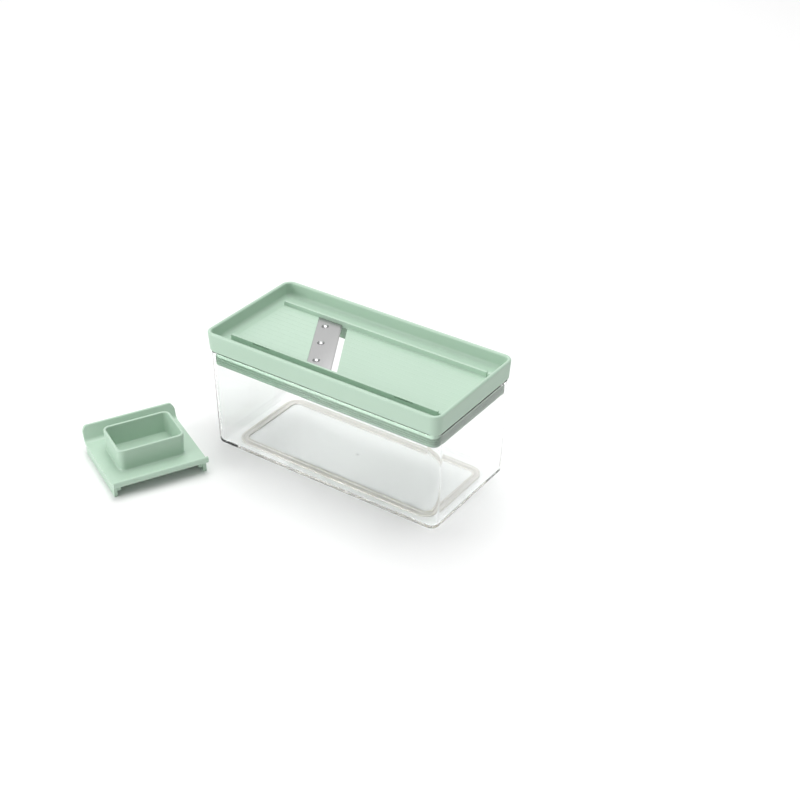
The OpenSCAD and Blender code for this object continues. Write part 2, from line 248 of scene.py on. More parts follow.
def prism(outline: Sequence[Point], low: float, high: float, soften: float = 0.0) -> bmesh.types.BMesh:
    """Stands a flat outline up between two heights.

    Args:
        outline: the outline seen from above.
        low: height of its foot.
        high: height of its top.
        soften: width of the bevel on all its edges.

    Returns:
        The closed prism.
    """
    bm = bmesh.new()
    face = bm.faces.new([bm.verts.new((x, y, low)) for x, y in outline])
    raised = bmesh.ops.extrude_face_region(bm, geom=[face])["geom"]
    lift = Vector((0, 0, high - low))
    bmesh.ops.translate(bm, verts=only(bmesh.types.BMVert, raised), vec=lift)
    weld(bm)
    if soften > 0:
        bevel(bm, bm.edges[:], soften)
    return bm


def beam(section: Sequence[Point], length: float) -> bmesh.types.BMesh:
    """Carries a closed section of Y and Z along X, centred, and closes its ends."""
    bm = bmesh.new()
    start = [bm.verts.new((-length / 2, y, z)) for y, z in section]
    face = bm.faces.new(start)
    made = bmesh.ops.extrude_face_region(bm, geom=[face])["geom"]
    bmesh.ops.translate(bm, verts=only(bmesh.types.BMVert, made), vec=Vector((length, 0, 0)))
    weld(bm)
    return bm


def bevel(bm: bmesh.types.BMesh, edges: Sequence, width: float, segments: int = 3) -> None:
    """Rounds edges of a mesh.

    Args:
        bm: the mesh.
        edges: the edges to round.
        width: how far the rounding reaches along the faces.
        segments: how many strips it has.
    """
    bmesh.ops.bevel(
        bm,
        geom=edges,
        offset=width,
        segments=segments,
        profile=0.5,
        affect="EDGES",
        clamp_overlap=True,
        material=-1,
    )


def finish_piece(name: str, bm: bmesh.types.BMesh) -> bpy.types.Object:
    """Makes an object of a finished mesh, smooth but for its sharp edges.

    Args:
        name: the piece's name.
        bm: its mesh, in place. It is freed.

    Returns:
        The piece's object, which sits at the origin.
    """
    mesh = bpy.data.meshes.new(name)
    bm.to_mesh(mesh)
    bm.free()
    mesh.shade_smooth()
    mesh.set_sharp_from_angle(angle=SMOOTH_ANGLE)
    piece = bpy.data.objects.new(name, mesh)
    bpy.context.scene.collection.objects.link(piece)
    even = piece.modifiers.new("even_normals", "WEIGHTED_NORMAL")
    even.keep_sharp = True
    return piece


def middle(node: str) -> Vector:
    """The middle of a CAD node's box."""
    low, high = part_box(node)
    return (Vector(low) + Vector(high)) / 2


def span(node: str) -> Vector:
    """The size of a CAD node's box."""
    low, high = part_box(node)
    return Vector(high) - Vector(low)


# ---------------------------------------------------------------- finishes


class Effect(Enum):
    """Surface effects that several finishes share, each one node group."""

    GRAIN = "moulded_grain"
    WEAR = "edge_lightening"
    DUST = "settled_dust"
    BRUSH = "brushed_lines"


def socket(group: bpy.types.NodeTree, name: str, kind: str, default: object, output: bool = False) -> None:
    """Adds a named socket to a node group."""
    way = "OUTPUT" if output else "INPUT"
    made = group.interface.new_socket(name=name, in_out=way, socket_type=f"NodeSocket{kind}")
    if default is not None:
        made.default_value = default


class Graph:
    """Adds and links nodes in one node tree."""

    def __init__(self, tree: bpy.types.NodeTree) -> None:
        """Keeps the tree that the nodes go in."""
        self.tree = tree

    def add(self, kind: str, **values: object) -> bpy.types.Node:
        """Adds a node.

        Args:
            kind: the node's type, without its "ShaderNode" prefix.
            values: properties, and input defaults under their names with _ for a space.

        Returns:
            The node.
        """
        node = self.tree.nodes.new(kind if kind.startswith("Node") else f"ShaderNode{kind}")
        for key, value in values.items():
            if hasattr(node, key):
                setattr(node, key, value)
            else:
                node.inputs[key.replace("_", " ")].default_value = value
        return node

    def link(self, out: bpy.types.NodeSocket, into: bpy.types.NodeSocket) -> None:
        """Links two sockets."""
        self.tree.links.new(out, into)

    def math(self, operation: str, a: object, b: object = 0.0, clamp: bool = False) -> bpy.types.NodeSocket:
        """A Math node.

        Args:
            operation: what it does.
            a: its first value, a socket or a number.
            b: its second value.
            clamp: whether the result stays between 0 and 1.

        Returns:
            The result's socket.
        """
        node = self.add("Math", operation=operation, use_clamp=clamp)
        for slot, value in zip(node.inputs, (a, b)):
            if isinstance(value, bpy.types.NodeSocket):
                self.link(value, slot)
            else:
                slot.default_value = value
        return node.outputs[0]

    def blend(self, factor: object, a: object, b: object) -> bpy.types.NodeSocket:
        """A colour Mix node between two colours, each a socket or four numbers."""
        node = self.add("Mix", data_type="RGBA")
        for slot, value in ((node.inputs[0], factor), (node.inputs[6], a), (node.inputs[7], b)):
            if isinstance(value, bpy.types.NodeSocket):
                self.link(value, slot)
            else:
                slot.default_value = value
        return node.outputs[2]


def grain_group(group: bpy.types.NodeTree) -> None:
    """Fills the moulded grain: fine pimples, slow colour drift and uneven gloss."""
    socket(group, "Vector", "Vector", None)
    socket(group, "Pimples per metre", "Float", 2500.0)
    socket(group, "Drift", "Float", 0.03)
    socket(group, "Roughness", "Float", 0.4)
    socket(group, "Gloss change", "Float", 0.06)
    socket(group, "Tone", "Float", None, output=True)
    socket(group, "Roughness", "Float", None, output=True)
    socket(group, "Height", "Float", None, output=True)
    g = Graph(group)
    inputs, outputs = g.add("NodeGroupInput"), g.add("NodeGroupOutput")
    fine = g.add("TexNoise", Detail=2.0, Roughness=0.55)
    slow = g.add("TexNoise", Scale=14.0, Detail=3.0, Roughness=0.6)
    cloud = g.add("TexNoise", Scale=90.0, Detail=2.0, Roughness=0.5)
    for node in (fine, slow, cloud):
        g.link(inputs.outputs["Vector"], node.inputs["Vector"])
    g.link(inputs.outputs["Pimples per metre"], fine.inputs["Scale"])
    swing = g.math("SUBTRACT", slow.outputs[0], 0.5)
    tone = g.math("MULTIPLY_ADD", swing, inputs.outputs["Drift"])
    tone.node.inputs[2].default_value = 1.0
    patchy = g.math("SUBTRACT", cloud.outputs[0], 0.5)
    gloss = g.math("MULTIPLY_ADD", patchy, inputs.outputs["Gloss change"])
    g.link(inputs.outputs["Roughness"], gloss.node.inputs[2])
    g.link(tone, outputs.inputs["Tone"])
    g.link(gloss, outputs.inputs["Roughness"])
    g.link(fine.outputs[0], outputs.inputs["Height"])


def wear_group(group: bpy.types.NodeTree) -> None:
    """Fills the edge lightening: a broken mask along the mesh's convex edges."""
    socket(group, "Vector", "Vector", None)
    socket(group, "Amount", "Float", 0.25)
    socket(group, "Mask", "Float", None, output=True)
    g = Graph(group)
    inputs, outputs = g.add("NodeGroupInput"), g.add("NodeGroupOutput")
    shape = g.add("NewGeometry")
    ridge = g.add("MapRange")
    ridge.inputs["From Min"].default_value = 0.52
    ridge.inputs["From Max"].default_value = 0.60
    g.link(shape.outputs["Pointiness"], ridge.inputs["Value"])
    broken = g.add("TexNoise", Scale=260.0, Detail=3.0, Roughness=0.65)
    g.link(inputs.outputs["Vector"], broken.inputs["Vector"])
    mask = g.math("MULTIPLY", ridge.outputs[0], broken.outputs[0])
    g.link(g.math("MULTIPLY", mask, inputs.outputs["Amount"], clamp=True), outputs.inputs["Mask"])


def dust_group(group: bpy.types.NodeTree) -> None:
    """Fills the settled dust: faint specks on faces that look up."""
    socket(group, "Vector", "Vector", None)
    socket(group, "Amount", "Float", 0.1)
    socket(group, "Mask", "Float", None, output=True)
    g = Graph(group)
    inputs, outputs = g.add("NodeGroupInput"), g.add("NodeGroupOutput")
    shape, split = g.add("NewGeometry"), g.add("SeparateXYZ")
    g.link(shape.outputs["Normal"], split.inputs[0])
    upward = g.math("MULTIPLY", split.outputs["Z"], 1.0, clamp=True)
    specks = g.add("TexNoise", Scale=700.0, Detail=4.0, Roughness=0.7)
    g.link(inputs.outputs["Vector"], specks.inputs["Vector"])
    sparse = g.add("MapRange")
    sparse.inputs["From Min"].default_value = 0.58
    sparse.inputs["From Max"].default_value = 0.72
    g.link(specks.outputs[0], sparse.inputs["Value"])
    mask = g.math("MULTIPLY", upward, sparse.outputs[0])
    g.link(g.math("MULTIPLY", mask, inputs.outputs["Amount"], clamp=True), outputs.inputs["Mask"])


def brush_group(group: bpy.types.NodeTree) -> None:
    """Fills the brushed lines: long fine streaks along the vector's X."""
    socket(group, "Vector", "Vector", None)
    socket(group, "Lines per metre", "Float", 4000.0)
    socket(group, "Roughness", "Float", 0.3)
    socket(group, "Change", "Float", 0.15)
    socket(group, "Tone", "Float", None, output=True)
    socket(group, "Roughness", "Float", None, output=True)
    socket(group, "Height", "Float", None, output=True)
    g = Graph(group)
    inputs, outputs = g.add("NodeGroupInput"), g.add("NodeGroupOutput")
    stretch = g.add("VectorMath", operation="MULTIPLY")
    stretch.inputs[1].default_value = (0.012, 1.0, 1.0)
    g.link(inputs.outputs["Vector"], stretch.inputs[0])
    lines = g.add("TexNoise", Detail=4.0, Roughness=0.7)
    g.link(stretch.outputs[0], lines.inputs["Vector"])
    g.link(inputs.outputs["Lines per metre"], lines.inputs["Scale"])
    swing = g.math("SUBTRACT", lines.outputs[0], 0.5)
    rough = g.math("MULTIPLY_ADD", swing, inputs.outputs["Change"])
    g.link(inputs.outputs["Roughness"], rough.node.inputs[2])
    tone = g.math("MULTIPLY_ADD", swing, 0.22)
    tone.node.inputs[2].default_value = 1.0
    g.link(tone, outputs.inputs["Tone"])
    g.link(rough, outputs.inputs["Roughness"])
    g.link(lines.outputs[0], outputs.inputs["Height"])


GROUP_MAKERS = {
    Effect.GRAIN: grain_group,
    Effect.WEAR: wear_group,
    Effect.DUST: dust_group,
    Effect.BRUSH: brush_group,
}


def effect(graph: Graph, kind: Effect, vector: bpy.types.NodeSocket, **values: float) -> bpy.types.Node:
    """Places a shared effect in a material, building its group the first time.

    Args:
        graph: the material's graph.
        kind: which effect.
        vector: the coordinates it reads.
        values: the group's inputs, under their names with _ for a space.

    Returns:
        The group's node.
    """
    group = bpy.data.node_groups.get(kind.value)
    if group is None:
        group = bpy.data.node_groups.new(kind.value, "ShaderNodeTree")
        GROUP_MAKERS[kind](group)
    node = graph.add("Group")
    node.node_tree = group
    graph.link(vector, node.inputs["Vector"])
    for name, value in values.items():
        node.inputs[name.replace("_", " ")].default_value = value
    return node


def material_graph(name: str) -> tuple[bpy.types.Material, Graph, bpy.types.Node, bpy.types.Node]:
    """Starts a material.

    Args:
        name: its name.

    Returns:
        The material, its graph, its Principled shader and its output node.
    """
    material = bpy.data.materials.new(name)
    material.use_nodes = True
    material.node_tree.nodes.clear()
    graph = Graph(material.node_tree)
    shader, out = graph.add("BsdfPrincipled"), graph.add("OutputMaterial")
    graph.link(shader.outputs[0], out.inputs[0])
    return material, graph, shader, out


def tinted(graph: Graph, colour: tuple[float, float, float], tone: bpy.types.NodeSocket) -> bpy.types.NodeSocket:
    """A colour made lighter and darker by a tone.

    Args:
        graph: the material's graph.
        colour: the plain colour.
        tone: the factor, about 1.

    Returns:
        The colour's socket.
    """
    scale = graph.add("VectorMath", operation="SCALE")
    scale.inputs[0].default_value = colour
    graph.link(tone, scale.inputs["Scale"])
    return scale.outputs[0]


def bumped(graph: Graph, height: bpy.types.NodeSocket, strength: float, distance: float) -> bpy.types.NodeSocket:
    """A bumped normal from a height."""
    bump = graph.add("Bump", Strength=strength, Distance=distance)
    graph.link(height, bump.inputs["Height"])
    return bump.outputs[0]


@dataclass(frozen=True)
class MouldedPlastic:
    """Satin injection-moulded plastic with a fine spark-eroded grain."""

    name: str
    colour: tuple[float, float, float]
    roughness: float = 0.42
    pimples: float = 2600.0
    depth: float = 0.00002
    drift: float = 0.035
    dust: float = 0.05
    wear: float = 0.3
    scatter: float = 0.08

    def build(self) -> bpy.types.Material:
        """Makes the material."""
        material, graph, shader, _ = material_graph(self.name)
        place = graph.add("TexCoord").outputs["Object"]
        grain = effect(
            graph,
            Effect.GRAIN,
            place,
            Pimples_per_metre=self.pimples,
            Drift=self.drift,
            Roughness=self.roughness,
            Gloss_change=0.08,
        )
        wear = effect(graph, Effect.WEAR, place, Amount=self.wear)
        dust = effect(graph, Effect.DUST, place, Amount=self.dust)
        base = tinted(graph, self.colour, grain.outputs["Tone"])
        pale = tuple(min(1.0, c * 1.18 + 0.04) for c in self.colour) + (1.0,)
        edged = graph.blend(wear.outputs["Mask"], base, pale)
        dusty = graph.blend(dust.outputs["Mask"], edged, (0.80, 0.80, 0.78, 1.0))
        graph.link(dusty, shader.inputs["Base Color"])
        rough = graph.math("MULTIPLY_ADD", dust.outputs["Mask"], 0.3)
        graph.link(grain.outputs["Roughness"], rough.node.inputs[2])
        graph.link(rough, shader.inputs["Roughness"])
        graph.link(bumped(graph, grain.outputs["Height"], 0.35, self.depth), shader.inputs["Normal"])
        shader.inputs["IOR"].default_value = 1.49
        shader.inputs["Subsurface Weight"].default_value = self.scatter
        shader.inputs["Subsurface Radius"].default_value = (1.0, 1.0, 0.8)
        shader.inputs["Subsurface Scale"].default_value = 0.002
        return material


@dataclass(frozen=True)
class ClearPlastic:
    """Clear glossy moulded plastic that lets light through to what is inside."""

    name: str
    colour: tuple[float, float, float] = (0.985, 0.992, 0.99)
    roughness: float = 0.02

    def build(self) -> bpy.types.Material:
        """Makes the material."""
        material, graph, shader, out = material_graph(self.name)
        place = graph.add("TexCoord").outputs["Object"]
        grain = effect(
            graph,
            Effect.GRAIN,
            place,
            Pimples_per_metre=60.0,
            Drift=0.012,
            Roughness=self.roughness,
            Gloss_change=0.02,
        )
        graph.link(tinted(graph, self.colour, grain.outputs["Tone"]), shader.inputs["Base Color"])
        graph.link(grain.outputs["Roughness"], shader.inputs["Roughness"])
        graph.link(bumped(graph, grain.outputs["Height"], 0.01, 0.0001), shader.inputs["Normal"])
        shader.inputs["Transmission Weight"].default_value = 1.0
        shader.inputs["IOR"].default_value = 1.25
        shader.inputs["Coat Weight"].default_value = 0.6
        shader.inputs["Coat Roughness"].default_value = 0.04
        clear = graph.add("BsdfTransparent", Color=(0.98, 0.982, 0.982, 1.0))
        ray, mix = graph.add("LightPath"), graph.add("MixShader")
        graph.link(ray.outputs["Is Shadow Ray"], mix.inputs[0])
        graph.link(shader.outputs[0], mix.inputs[1])
        graph.link(clear.outputs[0], mix.inputs[2])
        graph.link(mix.outputs[0], out.inputs[0])
        return material


@dataclass(frozen=True)
class BrushedSteel:
    """Stainless strip, brushed along one direction."""

    name: str
    turn: float
    colour: tuple[float, float, float] = (0.38, 0.38, 0.38)
    roughness: float = 0.38

    def build(self) -> bpy.types.Material:
        """Makes the material."""
        material, graph, shader, _ = material_graph(self.name)
        place = graph.add("TexCoord").outputs["Object"]
        along = graph.add("Mapping")
        along.inputs["Rotation"].default_value = (0, 0, -self.turn)
        graph.link(place, along.inputs["Vector"])
        brush = effect(
            graph,
            Effect.BRUSH,
            along.outputs[0],
            Lines_per_metre=5200.0,
            Roughness=self.roughness,
            Change=0.22,
        )
        graph.link(tinted(graph, self.colour, brush.outputs["Tone"]), shader.inputs["Base Color"])
        graph.link(brush.outputs["Roughness"], shader.inputs["Roughness"])
        graph.link(bumped(graph, brush.outputs["Height"], 0.2, 0.00001), shader.inputs["Normal"])
        shader.inputs["Metallic"].default_value = 1.0
        return material


@dataclass(frozen=True)
class PolishedSteel:
    """Bright tumbled steel with faint marks."""

    name: str
    colour: tuple[float, float, float] = (0.5, 0.5, 0.505)
    roughness: float = 0.3

    def build(self) -> bpy.types.Material:
        """Makes the material."""
        material, graph, shader, _ = material_graph(self.name)
        place = graph.add("TexCoord").outputs["Object"]
        grain = effect(
            graph,
            Effect.GRAIN,
            place,
            Pimples_per_metre=1800.0,
            Drift=0.08,
            Roughness=self.roughness,
            Gloss_change=0.12,
        )
        graph.link(tinted(graph, self.colour, grain.outputs["Tone"]), shader.inputs["Base Color"])
        graph.link(grain.outputs["Roughness"], shader.inputs["Roughness"])
        graph.link(bumped(graph, grain.outputs["Height"], 0.15, 0.00001), shader.inputs["Normal"])
        shader.inputs["Metallic"].default_value = 1.0
        return material


# ---------------------------------------------------------------- sub-assemblies


def dress(piece: bpy.types.Object, finish: bpy.types.Material, body: str, node: str) -> None:
    """Gives a piece its finish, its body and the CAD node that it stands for."""
    piece.data.materials.clear()
    piece.data.materials.append(finish)
    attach(piece, body)
    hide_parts(node)
    LOG.info("%s: %d faces on %s", piece.name, len(piece.data.polygons), body)


@dataclass
class Box:
    """The clear container and the soft ring under it."""

    wall: float = 2.2 * MM
    floor: float = 2.6 * MM
    corner: float = 9 * MM
    draft: float = 2 * MM
    base_round: float = 4 * MM
    inner_round: float = 2.4 * MM
    lip_round: float = 0.7 * MM
    gate_radius: float = 1.1 * MM
    gate_depth: float = 0.5 * MM
    ring_corner: float = 12 * MM
    ring_width: float = 6.6 * MM
    bead: float = 1.9 * MM

    def axes(self) -> Point:
        """Where the upright corners' axes stand, from the container's middle."""
        size = span("container")
        return size.x / 2 - self.corner, size.y / 2 - self.corner

    def container_mesh(self) -> bmesh.types.BMesh:
        """Builds the drafted, round-cornered box with its gate mark.

        Returns:
            The closed mesh, round its own middle.
        """
        low, high = (Vector(v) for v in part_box("container"))
        foot, top = self.corner - self.draft, self.corner
        inside = low.z + self.floor
        outline = rounded(
            [
                Corner(0, low.z),
                Corner(foot, low.z, self.base_round, 8),
                Corner(top, high.z, self.lip_round, 4),
                Corner(top - self.wall, high.z, self.lip_round, 4),
                Corner(foot - self.wall, inside, self.inner_round, 6),
                Corner(0, inside),
            ],
            closed=False,
        )
        bm = sweep_round(outline, self.axes(), closed=False)
        ax, ay = self.axes()
        for z in (low.z, inside):
            rim = [e for e in bm.edges if e.is_boundary and abs(e.verts[0].co.z - z) < WELD]
            if z == inside:
                bmesh.ops.holes_fill(bm, edges=rim, sides=0)
                continue
            gate = bmesh.ops.create_circle(bm, segments=16, radius=self.gate_radius)["verts"]
            bmesh.ops.translate(bm, verts=gate, vec=(0, 0, z))
            mouth = list({e for v in gate for e in v.link_edges})
            bmesh.ops.triangle_fill(bm, use_beauty=True, edges=rim + mouth)
            made = pull(bm, gate + mouth, Vector((0, 0, self.gate_depth)))
            bmesh.ops.contextual_create(bm, geom=only(bmesh.types.BMEdge, made))
        weld(bm)
        return bm

    def ring_mesh(self) -> bmesh.types.BMesh:
        """Builds the soft ring: a band with two beads below and two fine ridges above."""
        size, low = span("non_slip_ring"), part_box("non_slip_ring")[0][2]
        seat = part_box("container")[0][2]
        top = low + size.z
        outer, inner = self.ring_corner, self.ring_corner - self.ring_width
        groove = 0.5 * MM
        outline = rounded(
            [
                Corner(inner, top, 0.15 * MM, 2),
                Corner(inner, low, 0.35 * MM, 3),
                Corner(inner + self.bead, low, 0.35 * MM, 3),
                Corner(inner + self.bead, seat, 0.15 * MM, 2),
                Corner(outer - self.bead, seat, 0.15 * MM, 2),
                Corner(outer - self.bead, low, 0.35 * MM, 3),
                Corner(outer, low, 0.35 * MM, 3),
                Corner(outer, top, 0.15 * MM, 2),
                Corner(outer - self.bead, top, 0.1 * MM, 2),
                Corner(outer - self.bead - groove, top - groove, 0.1 * MM, 2),
                Corner(inner + self.bead + groove, top - groove, 0.1 * MM, 2),
                Corner(inner + self.bead, top, 0.1 * MM, 2),
            ]
        )
        half = (size.x / 2 - self.ring_corner, size.y / 2 - self.ring_corner)
        return sweep_round(outline, half, closed=True, steps=14)

    def build(self) -> None:
        """Builds and dresses both pieces."""
        spot = Matrix.Translation(middle("container") * Vector((1, 1, 0)))
        clear = ClearPlastic("clear_plastic").build()
        soft = MouldedPlastic("soft_ring", (0.68, 0.655, 0.61), 0.5, 1800.0, scatter=0.3, wear=0.1).build()
        parts = (
            ("clear_container", self.container_mesh(), clear, "container", "clear_plastic"),
            ("foot_ring", self.ring_mesh(), soft, "non_slip_ring", "soft_ring"),
        )
        for name, part, finish, node, slot in parts:
            bm = bmesh.new()
            absorb(bm, part, spot)
            dress(finish_piece(name, bm), finish, "container", node)


@dataclass
class Slicer:
    """The green frame with its rails and plates, its seal, the blade and the rivets."""

    box: Box
    overhang: float = 1.5 * MM
    rim_height: float = 18 * MM
    rim_wall: float = 3.3 * MM
    rim_corner: float = 8.6 * MM
    rim_draft: float = 1.2 * MM
    under_round: float = 2 * MM
    tray_depth: float = 13 * MM
    tray_floor: float = 2.2 * MM
    tray_fillet: float = 3.6 * MM
    skirt_wall: float = 1.6 * MM
    skirt_gap: float = 2.2 * MM
    skirt_height: float = 12 * MM
    rail_span: float = 72 * MM
    rail_wall: float = 2.2 * MM
    rail_height: float = 5 * MM
    rail_left_gap: float = 9.3 * MM
    rail_right_gap: float = 9.8 * MM
    rail_round: float = 0.5 * MM
    web_height: float = 9 * MM
    notch_length: float = 17.5 * MM
    notch_start: float = 61 * MM
    notch_height: float = 1.2 * MM
    notch_drop: float = 0.5 * MM
    notch_depth: float = 0.9 * MM
    stud_radius: float = 2.3 * MM
    stud_gap: float = 0.4 * MM
    landing_height: float = 1.3 * MM
    slant: float = math.radians(29.6)
    blade_width: float = 20.8 * MM
    edge_place: float = -20.9 * MM
    edge_reach: float = 5.5 * MM
    edge_thickness: float = 0.15 * MM
    bevel_width: float = 1.2 * MM
    slot_width: float = 5.4 * MM
    seat_gap: float = 0.25 * MM
    rivet_pitch: float = 27.4 * MM
    rivet_inset: float = 7 * MM
    rib_pitch: float = 5.7 * MM
    rib_height: float = 0.08 * MM
    rib_width: float = 1.1 * MM
    rib_count: int = 11
    sink: float = 0.4 * MM
    hair: float = 0.03 * MM

    def __post_init__(self) -> None:
        """Works out the heights and places that the methods share."""
        self.axes = self.box.axes()
        self.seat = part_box("container")[1][2]
        self.top = self.seat + self.rim_height
        self.floor = self.top - self.tray_depth
        self.under = self.floor - self.tray_floor
        shift = self.box.corner + self.overhang - self.rim_corner
        self.rim_axes = (self.axes[0] + shift, self.axes[1] + shift)
        self.rim_in = self.rim_corner - self.rim_wall
        self.skirt_out = self.box.corner - self.box.wall - self.skirt_gap
        self.rail_out = self.rail_span / 2
        self.rail_in = self.rail_out - self.rail_wall
        reach = self.rim_axes[0] + self.rim_in
        self.rail_start = -reach + self.rail_left_gap
        self.rail_end = reach - self.rail_right_gap
        self.blade_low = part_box("slicing_blade")[0][2]
        self.blade_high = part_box("slicing_blade")[1][2]
        self.run = math.tan(self.slant)
        self.back_place = self.edge_place - self.blade_width / math.cos(self.slant)
        self.support_place = self.edge_place - self.edge_reach / math.cos(self.slant)
        self.runup_place = self.edge_place + self.slot_width
        self.spot = Matrix.Translation(middle("slicer_frame") * Vector((1, 1, 0)))

    def strip(self, left: float, right: float, half: float) -> list[Point]:
        """Outline of a slanted strip.

        Args:
            left: its left edge's place at mid width.
            right: its right edge's place at mid width.
            half: half its length across the frame.

        Returns:
            Its four corners, anticlockwise.
        """
        lean = self.run * half
        return [(left + lean, -half), (right + lean, -half), (right - lean, half), (left - lean, half)]

    def tray_mesh(self) -> bmesh.types.BMesh:
        """Builds the rim and the tray floor as one closed shell with the slot through it."""
        step = 0.6 * MM
        foot = self.rim_corner - self.rim_draft
        outline = rounded(
            [
                Corner(0, self.under),
                Corner(step, self.under, 0.3 * MM, 3),
                Corner(step, self.seat),
                Corner(foot, self.seat, self.under_round, 8),
                Corner(self.rim_corner, self.top, self.rim_wall * 0.47, 9),
                Corner(self.rim_in, self.top, self.rim_wall * 0.47, 9),
                Corner(self.rim_in, self.floor, self.tray_fillet, 8),
                Corner(0, self.floor),
            ],
            closed=False,
        )
        bm = sweep_round(outline, self.rim_axes, closed=False, steps=14)
        mouths = []
        slot = self.strip(self.support_place, self.runup_place, self.rail_in - self.seat_gap)
        for z in (self.under, self.floor):
            rim = [e for e in bm.edges if e.is_boundary and abs(e.verts[0].co.z - z) < WELD]
            ring = wire(bm, [Vector((x, y, z)) for x, y in slot], closed=True)
            mouth = only(bmesh.types.BMEdge, ring)
            bmesh.ops.triangle_fill(bm, use_beauty=True, edges=rim + mouth)
            mouths += mouth
        bmesh.ops.bridge_loops(bm, edges=mouths)
        weld(bm)
        return bm

    def skirt_mesh(self) -> bmesh.types.BMesh:
        """Builds the skirt and the seat on the container's edge as one closed ring."""
        inner = self.skirt_out - self.skirt_wall
        reach = self.box.corner - self.box.wall / 2
        low, root = self.seat - self.skirt_height, self.under + 0.4 * MM
        outline = rounded(
            [
                Corner(inner, root),
                Corner(inner, low, 0.4 * MM, 3),
                Corner(self.skirt_out, low, 0.4 * MM, 3),
                Corner(self.skirt_out, self.seat + self.hair, 0.4 * MM, 3),
                Corner(reach, self.seat + self.hair),
                Corner(reach, root),
            ]
        )
        return sweep_round(outline, self.axes, closed=True, steps=14)

    def rail_mesh(self, side: int) -> bmesh.types.BMesh:
        """Builds one rail with a filleted foot, rounded ends and two notches outside.

        Args:
            side: 1 for the back rail, -1 for the front one.

        Returns:
            The rail, in the frame's own coordinates.
        """
        top = self.floor + self.rail_height
        length = self.rail_end - self.rail_start
        flare = 0.6 * MM
        low = self.floor - self.sink
        outline = rounded(
            [
                Corner(-self.rail_wall / 2 - flare, low),
                Corner(self.rail_wall / 2 + flare, low),
                Corner(self.rail_wall / 2 + flare, self.floor + self.hair),
                Corner(self.rail_wall / 2, self.floor + self.hair, flare, 5),
                Corner(self.rail_wall / 2, top, self.rail_round, 5),
                Corner(-self.rail_wall / 2, top, self.rail_round, 5),
                Corner(-self.rail_wall / 2, self.floor + self.hair, flare, 5),
                Corner(-self.rail_wall / 2 - flare, self.floor + self.hair),
            ]
        )
        bm = beam(outline, length)
        shift = (self.rail_start + self.rail_end) / 2
        middle_y = side * (self.rail_out - self.rail_wall / 2)
        bmesh.ops.translate(bm, verts=bm.verts[:], vec=(shift, middle_y, 0))
        ends = [e for e in bm.edges if abs(e.verts[0].co.x - e.verts[1].co.x) < WELD]
        tops = [e for e in ends if min(v.co.z for v in e.verts) > top - self.rail_round - WELD]
        bevel(bm, tops, 0.3 * MM, 2)
        self.cut_notches(bm, side, top)
        bmesh.ops.recalc_face_normals(bm, faces=bm.faces[:])
        return bm

    def cut_notches(self, bm: bmesh.types.BMesh, side: int, top: float) -> None:
        """Presses the two entry notches into a rail's outer face."""
        face_y = side * self.rail_out
        high = top - self.notch_drop
        low = high - self.notch_height
        starts = (self.notch_start, -self.notch_start - self.notch_length)
        cuts = [((x + d, 0, 0), (1, 0, 0)) for x in starts for d in (0, self.notch_length)]
        cuts += [((0, 0, z), (0, 0, 1)) for z in (low, high)]
        for at, way in cuts:
            outside = [f for f in bm.faces if abs(f.calc_center_median().y - face_y) < WELD]
            rim = {e for f in outside for e in f.edges} | {v for f in outside for v in f.verts}
            bmesh.ops.bisect_plane(bm, geom=outside + list(rim), dist=WELD, plane_co=at, plane_no=way)
        for start in starts:
            pocket = [
                f
                for f in bm.faces
                if abs(f.calc_center_median().y - face_y) < WELD
                and low < f.calc_center_median().z < high
                and start < f.calc_center_median().x < start + self.notch_length
            ]
            made = bmesh.ops.extrude_face_region(bm, geom=pocket)["geom"]
            bmesh.ops.translate(
                bm, verts=only(bmesh.types.BMVert, made), vec=(0, -side * self.notch_depth, 0)
            )
            bmesh.ops.delete(bm, geom=pocket, context="FACES")

    def stud_mesh(self, side: int) -> bmesh.types.BMesh:
        """Builds the stop stud past a rail's right end."""
        top = self.floor + self.rail_height
        outline = rounded(
            [
                Corner(0, self.floor - self.sink),
                Corner(self.stud_radius, self.floor - self.sink),
                Corner(self.stud_radius, top, 0.7 * MM, 5),
                Corner(0, top),
            ],
            closed=False,
        )
        bm = lathe(outline, 28)
        place = (self.rail_end + self.stud_gap + self.stud_radius, side * (self.rail_out - self.rail_wall / 2), 0)
        bmesh.ops.translate(bm, verts=bm.verts[:], vec=place)
        return bm

    def plates(self) -> list[bmesh.types.BMesh]:
        """Builds the landing plate, the blade's seat and the webs under the rails."""
        high = self.floor + self.landing_height
        half = self.rail_in + self.hair
        edge = self.back_place - self.seat_gap
        lean = self.run * half
        landing = prism(
            [(self.rail_start, -half), (edge + lean, -half), (edge - lean, half), (self.rail_start, half)],
            self.floor - self.sink,
            high,
        )
        crease = [
            e
            for e in landing.edges
            if all(abs(v.co.x - self.rail_start) < WELD and v.co.z > high - WELD for v in e.verts)
        ]
        bevel(landing, crease, 1.1 * MM, 4)
        seat = prism(
            self.strip(edge - self.hair, self.support_place - self.hair, half),
            self.floor - self.sink,
            self.blade_low - self.hair,
        )
        webs = []
        for side in (-1, 1):
            inner, outer = side * (self.rail_in + self.hair), side * self.rail_out
            corners = [(self.rail_start, inner), (self.rail_end, inner), (self.rail_end, outer), (self.rail_start, outer)]
            webs.append(prism(corners, self.under - self.web_height, self.under + self.sink, 0.25 * MM))
        return [landing, seat, *webs]

